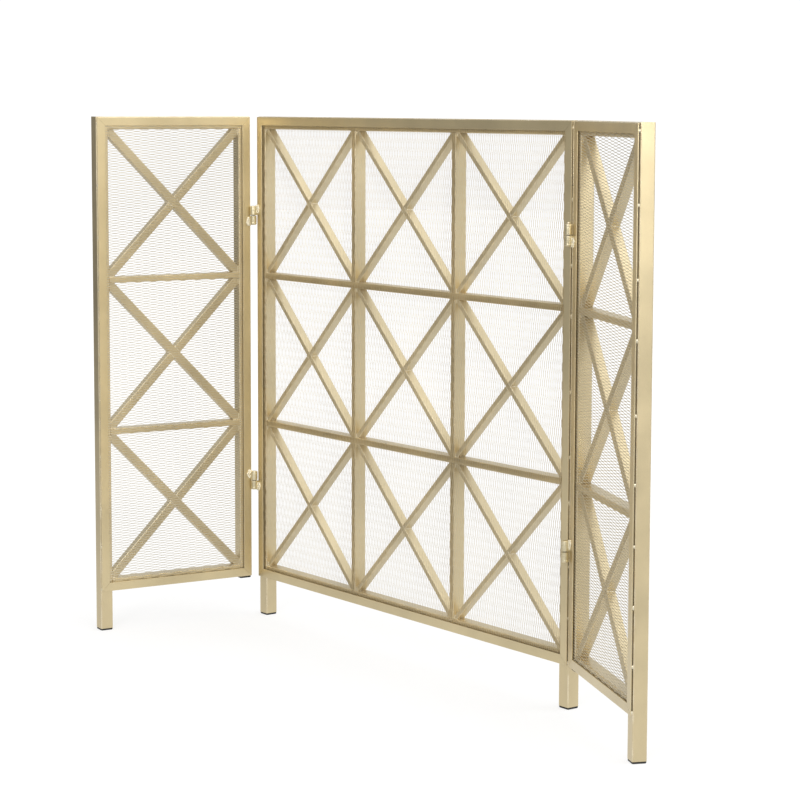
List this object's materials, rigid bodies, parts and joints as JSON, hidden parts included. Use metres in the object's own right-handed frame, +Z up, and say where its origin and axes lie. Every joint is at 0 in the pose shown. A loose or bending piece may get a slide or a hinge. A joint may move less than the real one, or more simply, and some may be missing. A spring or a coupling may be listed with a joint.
{
  "type": "fireplace screen",
  "caption": "Folding fireplace screen: a wide middle panel and two hinged wings of square tube with X bracing, backed by fine expanded-metal mesh.",
  "frame": {"origin": "on the floor under the middle of the bounding box of the screen as stored, with its wings part folded", "axes": "+Z up; +X along the middle panel, from the left wing to the right wing as seen from the meshed side; the meshed (hearth) side of the middle panel faces -Y and its room side faces +Y"},
  "size_m": [1.0256, 0.2778, 0.768],
  "materials": {
    "frame_paint": "satin champagne-gold metallic paint",
    "mesh_paint": "satin champagne-gold paint on expanded sheet",
    "hinge_metal": "glossy gold paint over turned steel",
    "pin_steel": "bright turned steel",
    "black_plastic": "moulded black plastic"
  },
  "bodies": {
    "middle_panel": {"left_lower_hinge_middle_half": "hinge_metal", "left_lower_hinge_pin": "pin_steel", "left_upper_hinge_middle_half": "hinge_metal", "middle_bottom_rail": "frame_paint", "middle_left_mullion": "frame_paint", "middle_left_post": "frame_paint", "middle_left_post_foot": "black_plastic", "middle_lower_rail": "frame_paint", "middle_mesh": "mesh_paint", "middle_mesh_retainer": "frame_paint", "middle_right_mullion": "frame_paint", "middle_right_post": "frame_paint", "middle_right_post_foot": "black_plastic", "middle_top_rail": "frame_paint", "middle_upper_rail": "frame_paint", "middle_x_brace_bottom_centre": "frame_paint", "middle_x_brace_bottom_left": "frame_paint", "middle_x_brace_bottom_right": "frame_paint", "middle_x_brace_middle_centre": "frame_paint", "middle_x_brace_middle_left": "frame_paint", "middle_x_brace_middle_right": "frame_paint", "middle_x_brace_top_centre": "frame_paint", "middle_x_brace_top_left": "frame_paint", "middle_x_brace_top_right": "frame_paint", "right_lower_hinge_middle_half": "hinge_metal", "right_lower_hinge_pin": "pin_steel", "right_upper_hinge_middle_half": "hinge_metal"},
    "left_wing": {"left_lower_hinge_wing_half": "hinge_metal", "left_upper_hinge_pin": "pin_steel", "left_upper_hinge_wing_half": "hinge_metal", "left_wing_bottom_rail": "frame_paint", "left_wing_hinge_post": "frame_paint", "left_wing_hinge_post_plug": "black_plastic", "left_wing_lower_rail": "frame_paint", "left_wing_mesh": "mesh_paint", "left_wing_mesh_retainer": "frame_paint", "left_wing_outer_post": "frame_paint", "left_wing_outer_post_foot": "black_plastic", "left_wing_top_rail": "frame_paint", "left_wing_upper_rail": "frame_paint", "left_wing_x_brace_bottom": "frame_paint", "left_wing_x_brace_middle": "frame_paint", "left_wing_x_brace_top": "frame_paint"},
    "right_wing": {"right_lower_hinge_wing_half": "hinge_metal", "right_upper_hinge_pin": "pin_steel", "right_upper_hinge_wing_half": "hinge_metal", "right_wing_bottom_rail": "frame_paint", "right_wing_hinge_post": "frame_paint", "right_wing_hinge_post_plug": "black_plastic", "right_wing_lower_rail": "frame_paint", "right_wing_mesh": "mesh_paint", "right_wing_mesh_retainer": "frame_paint", "right_wing_outer_post": "frame_paint", "right_wing_outer_post_foot": "black_plastic", "right_wing_top_rail": "frame_paint", "right_wing_upper_rail": "frame_paint", "right_wing_x_brace_bottom": "frame_paint", "right_wing_x_brace_middle": "frame_paint", "right_wing_x_brace_top": "frame_paint"}
  },
  "joints": [
    {"name": "left_wing_fold", "type": "hinge", "parent": "middle_panel", "child": "left_wing", "pos_m": [-0.45538, 0.11125, 0.414], "axis": [0, 0, 1], "range_deg": [-85.2, 94.8]},
    {"name": "right_wing_fold", "type": "hinge", "parent": "middle_panel", "child": "right_wing", "pos_m": [0.27072, 0.11125, 0.417], "axis": [0, 0, -1], "range_deg": [-26.2, 153.8]}
  ]
}
